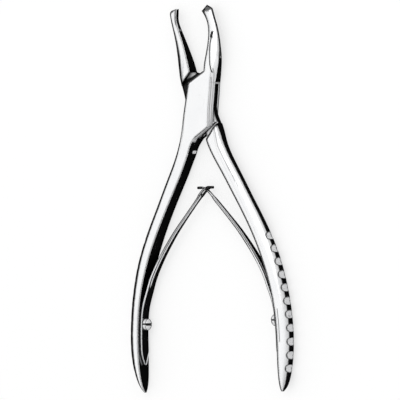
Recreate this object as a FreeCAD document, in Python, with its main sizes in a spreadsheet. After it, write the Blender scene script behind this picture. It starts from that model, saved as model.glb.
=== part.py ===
import FreeCAD, Part
import math
import os
import Sketcher
from FreeCAD import Vector as V, Placement, Rotation

# Double-spring bone rongeur, 178 mm long, lying flat with its jaws half open.
# Frame: origin on the axis of the box-lock pin, in the plane the instrument
# rests on.  +Y runs along the middle line towards the jaws, +X to the right,
# +Z out of the front cheek.  Millimetres.

os.makedirs("parts", exist_ok=True)
doc = FreeCAD.newDocument("bone_rongeur")

# ---------------------------------------------------------------- sheet
sheet = doc.addObject("Spreadsheet::Sheet", "Sizes")
CELLS = [
    ("box_depth", 8.4),          # depth of the box lock and of the grips, rest plane to front face
    ("slot_gap", 3.0),           # width of the slot between the two cheeks
    ("web_thick", 2.8),          # thickness of the tongue that passes through the slot
    ("pin_radius", 2.2),         # box-lock pin
    ("pin_play", 0.05),          # radial running clearance in the tongue
    ("close_angle", 20.0),       # from sprung open to cutting edges together
    ("notch_radius", 2.15),      # finger grooves across the outer faces
    ("notch_depth", 1.05),
    ("leaf_thick", 1.2),         # leaf spring at its root
    ("leaf_tip_thick", 0.8),
    ("leaf_width", 5.6),         # across the spring at the screw
    ("leaf_tip_width", 3.0),
    ("eye_width", 4.6),          # widened end that carries the window
    ("window_width", 2.3),
    ("tongue_width", 1.8),
    ("flex_gap", 0.10),          # clearance at the flexing section of a spring
    ("screw_head_radius", 2.65),
    ("screw_head_rise", 2.9),
    ("screw_shank_radius", 1.25),
    ("screw_reach", 5.2),        # under the head
    ("screw_slot_width", 0.7),
    ("screw_slot_depth", 1.1),
    ("screw_hole_radius", 1.30),
    ("screw_hole_depth", 4.6),
    ("edge_break", 0.30),        # small rounding along the inner edges of the female half
    ("male_edge_break", 0.25),   # the same on the slimmer male half
    ("cup_length", 4.6),         # half length of the hollow in each jaw
    ("cup_width", 0.95),         # half width of the hollow
    ("cup_depth", 0.95),
]
for i, (alias, value) in enumerate(CELLS, start=1):
    sheet.set("A%d" % i, alias)
    sheet.set("B%d" % i, str(value))
    sheet.setAlias("B%d" % i, alias)
doc.recompute()
S = {alias: float(sheet.get("B%d" % i)) for i, (alias, value) in enumerate(CELLS, start=1)}

ZM = S["box_depth"] / 2.0                       # middle plane of the instrument


# ---------------------------------------------------------------- helpers
def spline1d(pts):
    """Natural cubic through (t, value) pairs, returned as a function."""
    xs = [p[0] for p in pts]
    ys = [p[1] for p in pts]
    if xs[0] > xs[-1]:
        xs, ys = xs[::-1], ys[::-1]
    n = len(xs)
    a = [0.0] * n
    b = [1.0] * n
    c = [0.0] * n
    d = [0.0] * n
    for i in range(1, n - 1):
        h0, h1 = xs[i] - xs[i - 1], xs[i + 1] - xs[i]
        a[i], b[i], c[i] = h0, 2 * (h0 + h1), h1
        d[i] = 6 * ((ys[i + 1] - ys[i]) / h1 - (ys[i] - ys[i - 1]) / h0)
    for i in range(1, n):
        w = a[i] / b[i - 1]
        b[i] -= w * c[i - 1]
        d[i] -= w * d[i - 1]
    m = [0.0] * n
    m[-1] = d[-1] / b[-1]
    for i in range(n - 2, -1, -1):
        m[i] = (d[i] - c[i] * m[i + 1]) / b[i]

    def f(x):
        x = min(max(x, xs[0]), xs[-1])
        k = 0
        while k < n - 2 and x > xs[k + 1]:
            k += 1
        h = xs[k + 1] - xs[k]
        u, v = (xs[k + 1] - x) / h, (x - xs[k]) / h
        return (u * ys[k] + v * ys[k + 1]
                + h * h / 6 * ((u ** 3 - u) * m[k] + (v ** 3 - v) * m[k + 1]))
    return f


def monotone(pts):
    """Shape-keeping cubic (no overshoot) through (t, value) pairs."""
    pts = sorted(pts)
    xs = [p[0] for p in pts]
    ys = [p[1] for p in pts]
    n = len(xs)
    dl = [(ys[i + 1] - ys[i]) / (xs[i + 1] - xs[i]) for i in range(n - 1)]
    m = [dl[0]] + [0.0] * (n - 2) + [dl[-1]]
    for i in range(1, n - 1):
        if dl[i - 1] * dl[i] > 0:
            h0, h1 = xs[i] - xs[i - 1], xs[i + 1] - xs[i]
            w1, w2 = 2 * h1 + h0, h1 + 2 * h0
            m[i] = (w1 + w2) / (w1 / dl[i - 1] + w2 / dl[i])

    def f(x):
        x = min(max(x, xs[0]), xs[-1])
        k = 0
        while k < n - 2 and x > xs[k + 1]:
            k += 1
        h = xs[k + 1] - xs[k]
        t = (x - xs[k]) / h
        return ((2 * t ** 3 - 3 * t ** 2 + 1) * ys[k] + (t ** 3 - 2 * t ** 2 + t) * h * m[k]
                + (-2 * t ** 3 + 3 * t ** 2) * ys[k + 1] + (t ** 3 - t ** 2) * h * m[k + 1])
    return f


def rot2(p, deg):
    a = math.radians(deg)
    return (p[0] * math.cos(a) - p[1] * math.sin(a), p[0] * math.sin(a) + p[1] * math.cos(a))


NSIDE = 8


def side_points(xc_flat, xcrest, y, c, p, clip):
    """Points down one long side of a section, front edge to rear edge.
    The side is a super-ellipse of exponent p; clip < 1 leaves a soft crease."""
    out = []
    cc = c / clip
    k0 = (1 - clip ** p) ** (1.0 / p) if clip < 1 else 0.0
    a = (xcrest - xc_flat) / (1 - k0)
    xe = xcrest - a
    ph0 = math.asin(min(1.0, clip ** (p / 2.0)))
    for i in range(-NSIDE, NSIDE + 1):
        ph = -ph0 * i / NSIDE
        co = max(0.0, math.cos(ph)) ** (2.0 / p)
        si = math.copysign(abs(math.sin(ph)) ** (2.0 / p), ph)
        x, z = xe + a * co, cc * si
        if abs(i) == NSIDE:
            x, z = xc_flat, math.copysign(c, si)
        out.append(V(x, y, ZM + z))
    return out


def chord(pts):
    t = [0.0]
    for a, b in zip(pts, pts[1:]):
        t.append(t[-1] + (b - a).Length)
    return [v / t[-1] for v in t]


def loft(name, stations, funcs):
    """Forged blank: a smooth skin over closed sections in planes Y = constant, each
    flat in front and behind, with its left and right sides shaped by super-ellipses."""
    rights, lefts = [], []
    for y in stations:
        xl, xr, c, bl, pl, br, pr, kl, kr = [f(y) for f in funcs]
        rights.append(side_points(xr - br, xr, y, c, pr, kr))
        lefts.append(side_points(xl + bl, xl, y, c, pl, kl)[::-1])
    pars = []
    for group in (rights, lefts):
        rows = [chord(g) for g in group]
        pars.append([sum(col) / len(rows) for col in zip(*rows)])
    wires = []
    for right, left in zip(rights, lefts):
        cr = Part.BSplineCurve()
        cr.interpolate(Points=right, Parameters=pars[0])
        cl = Part.BSplineCurve()
        cl.interpolate(Points=left, Parameters=pars[1])
        e1 = Part.LineSegment(left[-1], right[0]).toShape()
        e3 = Part.LineSegment(right[-1], left[0]).toShape()
        wires.append(Part.Wire([e1, cr.toShape(), e3, cl.toShape()]))
    shp = Part.makeLoft(wires, True, False, False)
    o = doc.addObject("Part::Feature", name)
    o.Shape = shp
    return o


def prism(name, verts, splines, z0, z1, level=None, height=None):
    """Sketch-drawn outline padded from z0 to z1.  verts is a list of points and,
    between some of them, lists of points that a fair curve runs through.  level
    and height, where given, tie the two depths to the sheet."""
    body = doc.addObject("PartDesign::Body", name)
    plane = [f for f in body.Origin.OriginFeatures if f.Role == "XY_Plane"][0]
    sk = body.newObject("Sketcher::SketchObject", name + "_sketch")
    sk.AttachmentSupport = [(plane, "")]
    sk.MapMode = "FlatFace"
    sk.AttachmentOffset = Placement(V(0, 0, z0), Rotation())
    n = len(verts)
    geo = []
    for i in range(n):
        a, b = verts[i], verts[(i + 1) % n]
        if i in splines:
            bs = Part.BSplineCurve()
            bs.interpolate([V(*a, 0)] + [V(*q, 0) for q in splines[i]] + [V(*b, 0)])
            geo.append(bs)
        else:
            geo.append(Part.LineSegment(V(*a, 0), V(*b, 0)))
    sk.addGeometry(geo, False)
    pad = body.newObject("PartDesign::Pad", name + "_pad")
    pad.Profile = sk
    pad.Length = z1 - z0
    if level:
        sk.setExpression("AttachmentOffset.Base.z", level)
    if height:
        pad.setExpression("Length", height)
    return body


# ---------------------------------------------------------------- outlines
# Handle: inner face, distance from the middle line, against distance below the pin.
LEFT_IN = [(16.4, 2.6), (19.0, 4.75), (21.0, 5.95), (23.8, 7.05), (26.5, 8.35), (31.7, 10.9), (37.1, 13.8),
           (42.5, 16.8), (47.9, 19.75), (53.3, 22.6), (58.7, 25.3), (64.1, 27.8), (69.5, 30.1),
           (75.0, 32.15), (80.4, 33.9), (85.9, 35.35), (91.3, 36.5), (96.8, 37.3), (103.7, 37.9),
           (110.6, 38.1), (118.0, 38.05), (125.0, 37.85), (130.0, 37.6), (136.0, 37.2)]
RIGHT_IN = [(16.0, 2.7), (18.5, 3.3), (21.3, 4.4), (24.1, 5.75), (29.8, 9.0), (35.4, 12.3), (41.1, 15.5), (46.7, 18.7),
            (52.4, 21.85), (58.0, 24.85), (63.7, 27.6), (69.5, 30.1),
            (75.0, 32.15), (80.4, 33.9), (85.9, 35.35), (91.3, 36.5), (96.8, 37.3), (103.7, 37.9),
            (110.6, 38.1), (118.0, 38.05), (125.0, 37.85), (130.0, 37.6), (136.0, 37.2)]
f_left_in = spline1d(LEFT_IN)
f_right_in = spline1d(RIGHT_IN)

# ---- female half: left handle, box cheeks, right jaw
F_TOP, F_END = 44.9, -132.7
f_xr = spline1d([(46.0, 5.3), (44.9, 5.75), (43.1, 6.6), (39.5, 7.7), (36.7, 8.55), (34.0, 9.3), (31.2, 9.85), (28.5, 10.25),
                 (25.7, 10.45), (23.0, 10.6), (20.2, 10.55), (17.5, 10.2), (14.7, 9.5), (12.0, 8.8), (8.0, 7.95),
                 (4.0, 7.45), (0.6, 6.95), (-3.5, 6.4), (-7.6, 6.05), (-11.6, 5.7), (-16.0, 4.8), (-21.0, 2.0),
                 (-26.5, -2.0), (-31.7, -5.0), (-37.1, -8.2), (-47.9, -14.5), (-58.7, -20.5), (-69.5, -25.6),
                 (-80.4, -29.6), (-91.3, -32.4), (-103.7, -33.4), (-118.0, -33.6), (-125.0, -33.6),
                 (-130.0, -33.6), (-134.0, -33.6)])
f_br = monotone([(46.0, 3.0), (42.0, 3.0), (36.0, 3.2), (28.5, 3.9), (23.0, 3.7), (17.5, 2.7), (12.0, 1.5), (6.0, 1.1),
                 (-12.0, 1.0), (-20.0, 0.8), (-134.0, 0.8)])
f_pr = monotone([(46.0, 2.1), (28.0, 2.1), (18.0, 2.2), (10.0, 2.6), (-134.0, 2.6)])
f_kr = monotone([(46.0, 1.0), (36.0, 1.0), (31.0, 0.97), (14.0, 0.95), (-12.0, 0.95), (-20.0, 1.0), (-134.0, 1.0)])
f_xl = spline1d([(46.0, -1.0), (40.0, -1.0), (34.0, -0.6), (28.0, -0.6), (22.0, -1.4), (17.0, -2.8), (13.0, -4.2), (9.4, -5.5),
                 (5.0, -6.6), (1.15, -7.45), (-4.25, -8.7), (-9.7, -9.85), (-15.2, -11.3), (-20.6, -13.45),
                 (-26.5, -16.2), (-31.7, -18.9), (-37.1, -21.75), (-42.5, -24.5), (-47.9, -27.2),
                 (-53.3, -29.95), (-58.7, -32.6), (-64.1, -35.0), (-69.5, -37.2), (-75.0, -39.05), (-80.4, -40.5),
                 (-85.9, -41.7), (-91.3, -42.65), (-96.8, -43.35), (-103.7, -43.95), (-110.6, -44.15),
                 (-116.0, -43.85), (-121.6, -42.95), (-126.0, -41.7), (-129.2, -40.45), (-131.4, -39.2), (-132.7, -38.2)])
f_bl = monotone([(46.0, 0.6), (12.0, 0.6), (-4.0, 0.8), (-12.0, 1.4), (-20.0, 3.0), (-30.0, 4.6), (-45.0, 5.0),
                 (-80.0, 5.2), (-116.0, 4.9), (-123.0, 3.9), (-129.2, 2.0), (-131.4, 1.0), (-132.7, 0.4)])
f_pl = monotone([(46.0, 3.2), (0.0, 3.2), (-14.0, 2.9), (-30.0, 2.6), (-60.0, 2.4), (-90.0, 2.2), (-134.0, 2.2)])
f_kl = monotone([(46.0, 1.0), (-134.0, 1.0)])
f_c = monotone([(46.0, 1.45), (41.6, 1.5), (36.7, 1.6), (31.2, 1.95), (25.7, 2.45), (20.2, 3.15), (16.5, 3.65), (13.0, 4.05),
                (10.0, ZM), (-12.5, ZM), (-16.5, 4.08), (-21.0, 3.75), (-26.5, 3.5), (-34.0, 3.4), (-48.0, 3.45),
                (-58.0, 3.7), (-68.0, 3.98), (-78.0, 4.14), (-88.0, ZM), (-114.0, ZM), (-119.0, 4.08), (-123.5, 3.7),
                (-127.0, 3.1), (-129.8, 2.25), (-131.6, 1.35), (-132.7, 0.45)])

st = [F_TOP, 43.6, 42.2, 40.4, 38.4, 36.0, 33.2, 30.4, 27.6, 24.8, 22.0, 19.4, 17.0, 14.8, 12.6, 10.6, 8.0, 4.0, 0.0,
      -4.0, -8.0, -12.0, -15.0, -18.0, -21.5, -25.5, -30.0, -35.5, -41.5, -48.0, -54.5, -61.0, -67.5, -74.0, -80.5,
      -87.0, -93.5, -100.0, -106.5, -112.0, -116.5, -120.0, -123.0, -125.6, -127.8, -129.6, -131.0, -132.0, F_END]
female_blank = loft("female_forging", st, [f_xl, f_xr, f_c, f_bl, f_pl, f_br, f_pr, f_kl, f_kr])

# What is cut away beside the jaw and above the cheeks: the jaw's inner face with
# its hooked end, then the slanting upper edge of the box.
UP_IN = (3.3, 14.1)
jaw_in = [(3.42, 17.45), (3.85, 20.2), (4.35, 23.0), (4.78, 25.7), (5.1, 28.5), (5.2, 31.2), (5.05, 34.0), (4.45, 36.7),
          (3.25, 39.4)]
female_upper_cut = prism("female_upper_cut",
                         [(-14.0, 4.45), UP_IN, (1.78, 41.6), (3.17, 44.5), (6.0, 43.05), (9.5, 41.1), (12.0, 48.0), (-14.0, 48.0)],
                         {1: jaw_in}, -2.0, 11.0)
# Bevel across the very tip of the right jaw, sloping back from its front face.
TIP_A, TIP_B, TIP_C = V(1.78, 41.6, 5.65), V(6.2, 42.3, 5.19), V(3.17, 44.5, 3.15)
tip_n = (TIP_B - TIP_A).cross(TIP_C - TIP_A)
tip_n.normalize()
tip_bevel = doc.addObject("Part::Box", "tip_bevel")
tip_bevel.Length, tip_bevel.Width, tip_bevel.Height = 24.0, 24.0, 6.0
tip_rot = Rotation(V(0, 0, 1), tip_n)
tip_bevel.Placement = Placement(TIP_A - tip_rot.multVec(V(12.0, 12.0, 0.0)), tip_rot)

# Below the box: the slanting lower edge, then the inner face of the left handle.
LOW_A, LOW_B = (9.0, -9.35), (-2.6, -16.4)
female_lower_cut = prism("female_lower_cut",
                         [LOW_A, LOW_B, (-37.2, -136.0), (5.0, -136.0), (14.0, -60.0), (14.0, -9.35)],
                         {1: [(-d, -y) for y, d in LEFT_IN[1:-1]]}, -2.0, 11.0)

# The slot: from the lower right to the upper left, between two slanting end walls.
WALL_UP = 11.15                                   # distance of the upper end wall from the pin axis
WALL_LOW = 11.4
n_up = (0.8, 0.6)
n_low = (-0.866, -0.5)


def wall_pt(n, d, s):
    """Point on the line at distance d from the pin along n, moved s along it."""
    return (n[0] * d - n[1] * s, n[1] * d + n[0] * s)


slot_cut = prism("slot_cut",
                 [wall_pt(n_up, WALL_UP, -16.0), wall_pt(n_up, WALL_UP, 16.0),
                  wall_pt(n_low, WALL_LOW, -16.0), wall_pt(n_low, WALL_LOW, 16.0)],
                 {}, ZM - S["slot_gap"] / 2, ZM + S["slot_gap"] / 2,
                 "Sizes.box_depth / 2 - Sizes.slot_gap / 2", "Sizes.slot_gap")

# ---- male half: right handle, tongue, left jaw
M_TOP, M_END = 43.9, -133.6
g_xl = spline1d([(45.0, -16.75), (42.5, -16.75), (40.1, -16.5), (37.0, -15.9), (34.5, -15.35), (31.5, -14.65), (28.9, -14.1),
                 (26.0, -13.6), (23.3, -13.2), (20.5, -12.8), (17.7, -12.5), (15.0, -12.15), (12.0, -11.7), (8.9, -10.9),
                 (5.6, -9.9), (1.5, -8.95), (-3.0, -8.1), (-8.0, -6.4), (-13.0, -3.9), (-18.5, -1.2), (-24.1, 1.6),
                 (-29.8, 4.8), (-35.4, 8.1), (-46.7, 14.5), (-58.0, 20.6), (-69.5, 25.6), (-80.4, 29.6), (-91.3, 32.4),
                 (-103.7, 33.4), (-118.0, 33.6), (-125.0, 33.6), (-130.0, 33.6), (-134.5, 33.6)])
g_bl = monotone([(45.0, 2.6), (40.0, 2.6), (34.5, 2.9), (28.9, 3.9), (23.3, 4.3), (17.7, 3.9), (12.0, 2.9), (8.0, 2.2), (2.0, 1.2), (-8.0, 0.8),
                 (-134.5, 0.8)])
g_pl = monotone([(45.0, 2.2), (16.0, 2.3), (4.0, 2.8), (-134.5, 2.8)])
g_kl = monotone([(45.0, 1.0), (36.0, 1.0), (30.0, 0.97), (12.0, 0.95), (2.0, 1.0), (-134.5, 1.0)])
g_xr = spline1d([(45.0, -9.0), (40.0, -9.0), (34.0, -7.0), (28.0, -4.5), (22.0, -1.5), (17.0, 1.8), (12.0, 4.7), (7.0, 6.2), (3.0, 6.5),
                 (-0.3, 6.55), (-5.0, 6.9), (-9.8, 8.75), (-13.5, 10.15), (-18.5, 11.6), (-24.1, 13.95), (-29.8, 17.0),
                 (-35.4, 20.15), (-41.1, 23.2), (-46.7, 26.3), (-52.4, 29.45), (-58.0, 32.35), (-63.7, 35.0),
                 (-69.5, 37.35), (-75.0, 39.2), (-80.4, 40.6), (-85.9, 41.85), (-91.3, 42.85), (-96.8, 43.55),
                 (-103.7, 44.1), (-110.6, 44.15), (-116.0, 43.8), (-121.6, 43.05), (-126.6, 41.95), (-130.0, 40.85),
                 (-132.3, 39.6), (-133.6, 38.5)])
g_br = monotone([(45.0, 0.6), (6.0, 0.6), (-2.0, 0.8), (-9.0, 1.8), (-16.0, 3.2), (-24.0, 4.4), (-40.0, 5.0), (-80.0, 5.2), (-116.0, 4.9),
                 (-123.0, 3.9), (-130.0, 2.0), (-132.3, 1.0), (-133.6, 0.4)])
g_pr = monotone([(45.0, 3.2), (0.0, 3.0), (-14.0, 2.8), (-30.0, 2.6), (-60.0, 2.4), (-90.0, 2.2), (-134.5, 2.2)])
g_kr = monotone([(45.0, 1.0), (-2.0, 1.0), (-10.0, 0.97), (-60.0, 0.97), (-80.0, 1.0), (-134.5, 1.0)])
g_c = monotone([(45.0, 0.95), (43.0, 1.15), (40.1, 1.2), (34.5, 1.38), (28.9, 1.75), (23.3, 2.35), (17.7, 2.95), (12.0, 3.2), (4.0, 3.4),
                (-8.0, 3.6), (-18.0, 3.55), (-26.5, 3.45), (-34.0, 3.4), (-48.0, 3.45), (-58.0, 3.7), (-68.0, 3.98),
                (-78.0, 4.14), (-88.0, ZM), (-114.0, ZM), (-119.5, 4.08), (-124.3, 3.7), (-127.9, 3.1), (-130.7, 2.25),
                (-132.5, 1.35), (-133.6, 0.45)])
st_m = [M_TOP, 42.8, 41.4, 39.6, 37.4, 34.8, 32.0, 29.2, 26.4, 23.6, 20.8, 18.0, 15.2, 12.4, 9.4, 6.0, 2.4, -1.6, -5.6,
        -9.6, -13.6, -17.6, -21.8, -26.0, -30.5, -35.8, -41.8, -48.0, -54.5, -61.0, -67.5, -74.0, -80.5, -87.0,
        -93.5, -100.0, -106.5, -112.0, -116.5, -120.3, -123.5, -126.2, -128.5, -130.4, -131.9, -132.9, M_END]
male_blank = loft("male_forging", st_m, [g_xl, g_xr, g_c, g_bl, g_pl, g_br, g_pr, g_kl, g_kr])

# Right of the left jaw: its inner face, then the upper edge of the tongue.
male_upper_cut = prism("male_upper_cut",
                       [(13.0, 4.2), (7.2, 7.2), (5.5, 9.3), (0.5, 12.7), (-4.85, 14.2), (-12.75, 39.3), (-12.4, 43.55), (-15.3, 42.75), (-16.15, 41.95),
                        (-17.6, 39.6), (-19.5, 39.6), (-19.5, 47.0), (13.0, 47.0)],
                       {4: [(-5.72, 17.7), (-6.55, 20.5), (-7.45, 23.3), (-8.4, 26.1), (-9.4, 28.9), (-10.5, 31.7), (-11.6, 34.5),
                            (-12.45, 37.0)]}, -2.0, 11.0)
# Left of the right handle: the lower edge of the tongue, then the inner face.
male_lower_cut = prism("male_lower_cut",
                       [(2.7, -16.0), (37.2, -136.0), (-8.0, -136.0), (-14.0, -60.0), (-14.0, -1.5), (-8.5, -3.2), (-7.6, -6.6)],
                       {0: [(d, -y) for y, d in RIGHT_IN[1:-1]]}, -2.0, 11.0)

# The tongue is thinned on both sides between the two shoulders.  Each shoulder
# lies parallel to the cheek edge that it meets when the jaws are closed.
PHI = S["close_angle"]
sh_up = [(-4.75, 14.1), (-9.9, 8.35)]
d_up = (sh_up[1][0] - sh_up[0][0], sh_up[1][1] - sh_up[0][1])
sh_up_ext = [(sh_up[0][0] - d_up[0] * 1.2, sh_up[0][1] - d_up[1] * 1.2), (sh_up[1][0] + d_up[0] * 1.2, sh_up[1][1] + d_up[1] * 1.2)]
# lower cheek edge moved 0.5 mm away from the box, turned to the open position
e = (LOW_B[0] - LOW_A[0], LOW_B[1] - LOW_A[1])
el = math.hypot(*e)
nrm = (-e[1] / el, e[0] / el)
if nrm[1] > 0:
    nrm = (-nrm[0], -nrm[1])
lowa = (LOW_A[0] + nrm[0] * 0.5 - e[0] * 0.4, LOW_A[1] + nrm[1] * 0.5 - e[1] * 0.4)
lowb = (LOW_B[0] + nrm[0] * 0.5 + e[0] * 0.4, LOW_B[1] + nrm[1] * 0.5 + e[1] * 0.4)
sh_low = [rot2(lowa, PHI), rot2(lowb, PHI)]
tongue_outline = [sh_up_ext[0], sh_up_ext[1], sh_low[1], sh_low[0]]
tongue_front_cut = prism("tongue_front_cut", tongue_outline, {}, ZM + S["web_thick"] / 2, 12.0,
                         "Sizes.box_depth / 2 + Sizes.web_thick / 2")
tongue_rear_cut = prism("tongue_rear_cut", tongue_outline, {}, -4.0, ZM - S["web_thick"] / 2,
                        None, "4 + Sizes.box_depth / 2 - Sizes.web_thick / 2")


# ---------------------------------------------------------------- common cutters
def cylinder(name, r_expr, length, base, direction):
    o = doc.addObject("Part::Cylinder", name)
    o.setExpression("Radius", r_expr)
    o.Height = length
    o.Placement = Placement(V(*base), Rotation(V(0, 0, 1), V(*direction)))
    return o


def notch_set(side, f_crest, ys):
    """Finger grooves across the rounded outer face, spaced along the grip."""
    out = []
    rho, dep = S["notch_radius"], S["notch_depth"]
    for i, y in enumerate(ys, start=1):
        x = f_crest(y)
        sl = (f_crest(y + 0.5) - f_crest(y - 0.5))
        nx, ny = side * 1.0, -side * sl
        L = math.hypot(nx, ny)
        nx, ny = nx / L, ny / L
        k = rho - dep
        out.append(cylinder("notch_%s_%02d" % ("right" if side > 0 else "left", i), "Sizes.notch_radius", 14.0,
                            (x + nx * k, y + ny * k, ZM - 7.0), (0, 0, 1)))
    return out


NOTCH_Y = [-62.6, -68.5, -74.5, -80.5, -86.5, -92.6, -98.7, -104.9, -111.1, -117.3, -123.3]

# spring screws: axis square to the inner face, 101 mm below the pin
SCREW_Y = -101.0


def face_frame(f_in, side, y):
    """Point on a handle's inner face and the unit normal out of it, in plan."""
    d0 = f_in(-y)
    sl = (f_in(-y + 0.5) - f_in(-y - 0.5))       # change of distance per mm down
    t = (side * sl, -1.0)                         # tangent, pointing down
    L = math.hypot(*t)
    t = (t[0] / L, t[1] / L)
    n = (-side * abs(t[1]), 0)
    n = (t[1] * side, -t[0] * side)
    if n[0] * side > 0:
        n = (-n[0], -n[1])
    return (side * d0, y), n


def screw_hole(name, f_in, side):
    (x, y), n = face_frame(f_in, side, SCREW_Y)
    o = doc.addObject("Part::Cylinder", name)
    o.setExpression("Radius", "Sizes.screw_hole_radius")
    o.setExpression("Height", "Sizes.screw_hole_depth + 1")
    o.Placement = Placement(V(x + n[0], y + n[1], ZM), Rotation(V(0, 0, 1), V(-n[0], -n[1], 0)))
    return o


def cup(name, centre, ang):
    """Hollow of a jaw: an ellipsoid, long axis along the jaw."""
    o = doc.addObject("Part::Ellipsoid", name)
    o.setExpression("Radius1", "Sizes.cup_width")
    o.setExpression("Radius2", "Sizes.cup_length")
    o.setExpression("Radius3", "Sizes.cup_depth")
    o.Placement = Placement(V(centre[0], centre[1], ZM), Rotation(V(0, 0, 1), ang))
    return o


def cut(name, base, tools):
    fuse = doc.addObject("Part::MultiFuse", name + "_tools")
    fuse.Shapes = tools
    o = doc.addObject("Part::Cut", name)
    o.Base = base
    o.Tool = fuse
    return o


pin_bore = cylinder("pin_bore", "Sizes.pin_radius", 20.0, (0, 0, -5.0), (0, 0, 1))
tongue_bore = cylinder("tongue_bore", "Sizes.pin_radius + Sizes.pin_play", 20.0, (0, 0, -5.0), (0, 0, 1))

female = cut("female_half", female_blank,
             [female_upper_cut, tip_bevel, female_lower_cut, slot_cut, pin_bore,
              screw_hole("female_screw_hole", f_left_in, -1), cup("female_cup", (3.05, 39.6), 117.0)]
             + notch_set(-1, f_xl, NOTCH_Y))
male = cut("male_half", male_blank,
           [male_upper_cut, male_lower_cut, tongue_front_cut, tongue_rear_cut, tongue_bore,
            screw_hole("male_screw_hole", f_right_in, 1), cup("male_cup", (-12.45, 39.6), 94.0)]
           + notch_set(1, g_xr, NOTCH_Y))

doc.recompute()


def broken_edges(name, base, cutters, radius, min_len=20.0):
    """The long inner edges, front and rear, are rounded off by hand."""
    picked = []
    for i, e in enumerate(base.Shape.Edges, start=1):
        if e.Length < min_len:
            continue
        a, b = e.ParameterRange
        v = Part.Vertex(e.valueAt((a + b) / 2))
        if min(c.Shape.distToShape(v)[0] for c in cutters) < 1e-3:
            picked.append(i)
    o = doc.addObject("Part::Fillet", name)
    o.Base = base
    o.Edges = [(i, radius, radius) for i in picked]
    print(name, "edges", picked, [round(base.Shape.Edges[i - 1].Length, 1) for i in picked])
    return o


female = broken_edges("female_half_rounded", female, [female_upper_cut, female_lower_cut], S["edge_break"])
male = broken_edges("male_half_rounded", male, [male_upper_cut, male_lower_cut], S["male_edge_break"])

# ---------------------------------------------------------------- pin
pin = doc.addObject("PartDesign::Body", "lock_pin")
plane = [f for f in pin.Origin.OriginFeatures if f.Role == "XY_Plane"][0]
sk = pin.newObject("Sketcher::SketchObject", "pin_circle")
sk.AttachmentSupport = [(plane, "")]
sk.MapMode = "FlatFace"
sk.addGeometry(Part.Circle(V(0, 0, 0), V(0, 0, 1), S["pin_radius"]), False)
sk.addConstraint(Sketcher.Constraint("Coincident", 0, 3, -1, 1))
sk.addConstraint(Sketcher.Constraint("Radius", 0, S["pin_radius"]))
sk.setExpression("Constraints[1]", "Sizes.pin_radius")
pad = pin.newObject("PartDesign::Pad", "pin_length")
pad.Profile = sk
pad.setExpression("Length", "Sizes.box_depth")


# ---------------------------------------------------------------- leaf springs
# Middle line of a leaf, distance from the middle plane of symmetry against
# distance below the pin: flat against the handle, lifting off, then a long
# gentle curve to the crossing, and the end turned over level.
FLEX = (34.2, 88.0)                               # flexing section of each leaf
T0, T1 = S["leaf_thick"], S["leaf_tip_thick"]
FREE = [(33.05, 85.0), (31.95, 82.0), (29.15, 76.3), (25.65, 70.5), (21.85, 65.0), (17.7, 59.5), (13.0, 54.0), (8.1, 48.5),
        (3.7, 43.6), (1.6, 41.35), (0.3, 40.25), (-1.0, 39.55), (-2.3, 39.3)]
EYE_END = [(-3.0, 39.3)]                          # the widened end stops just past its window
TONGUE_END = [(-3.6, 39.3), (-4.55, 39.3)]        # the narrow end reaches further through


def offset_path(pts, ths):
    """Left and right offsets of an open path with a thickness per point."""
    a, b = [], []
    n = len(pts)
    for i in range(n):
        p0, p1 = pts[max(0, i - 1)], pts[min(n - 1, i + 1)]
        tx, ty = p1[0] - p0[0], p1[1] - p0[1]
        L = math.hypot(tx, ty)
        nx, ny = -ty / L, tx / L
        h = ths[i] / 2
        a.append((pts[i][0] + nx * h, pts[i][1] + ny * h))
        b.append((pts[i][0] - nx * h, pts[i][1] - ny * h))
    return a, b


def dense(pts, step=0.8):
    """Fair curve through points, resampled evenly."""
    bs = Part.BSplineCurve()
    bs.interpolate([V(x, y, 0) for x, y in pts])
    n = max(8, int(bs.length() / step))
    q = bs.discretize(Number=n + 1)
    return [(v.x, v.y) for v in q]


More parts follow.
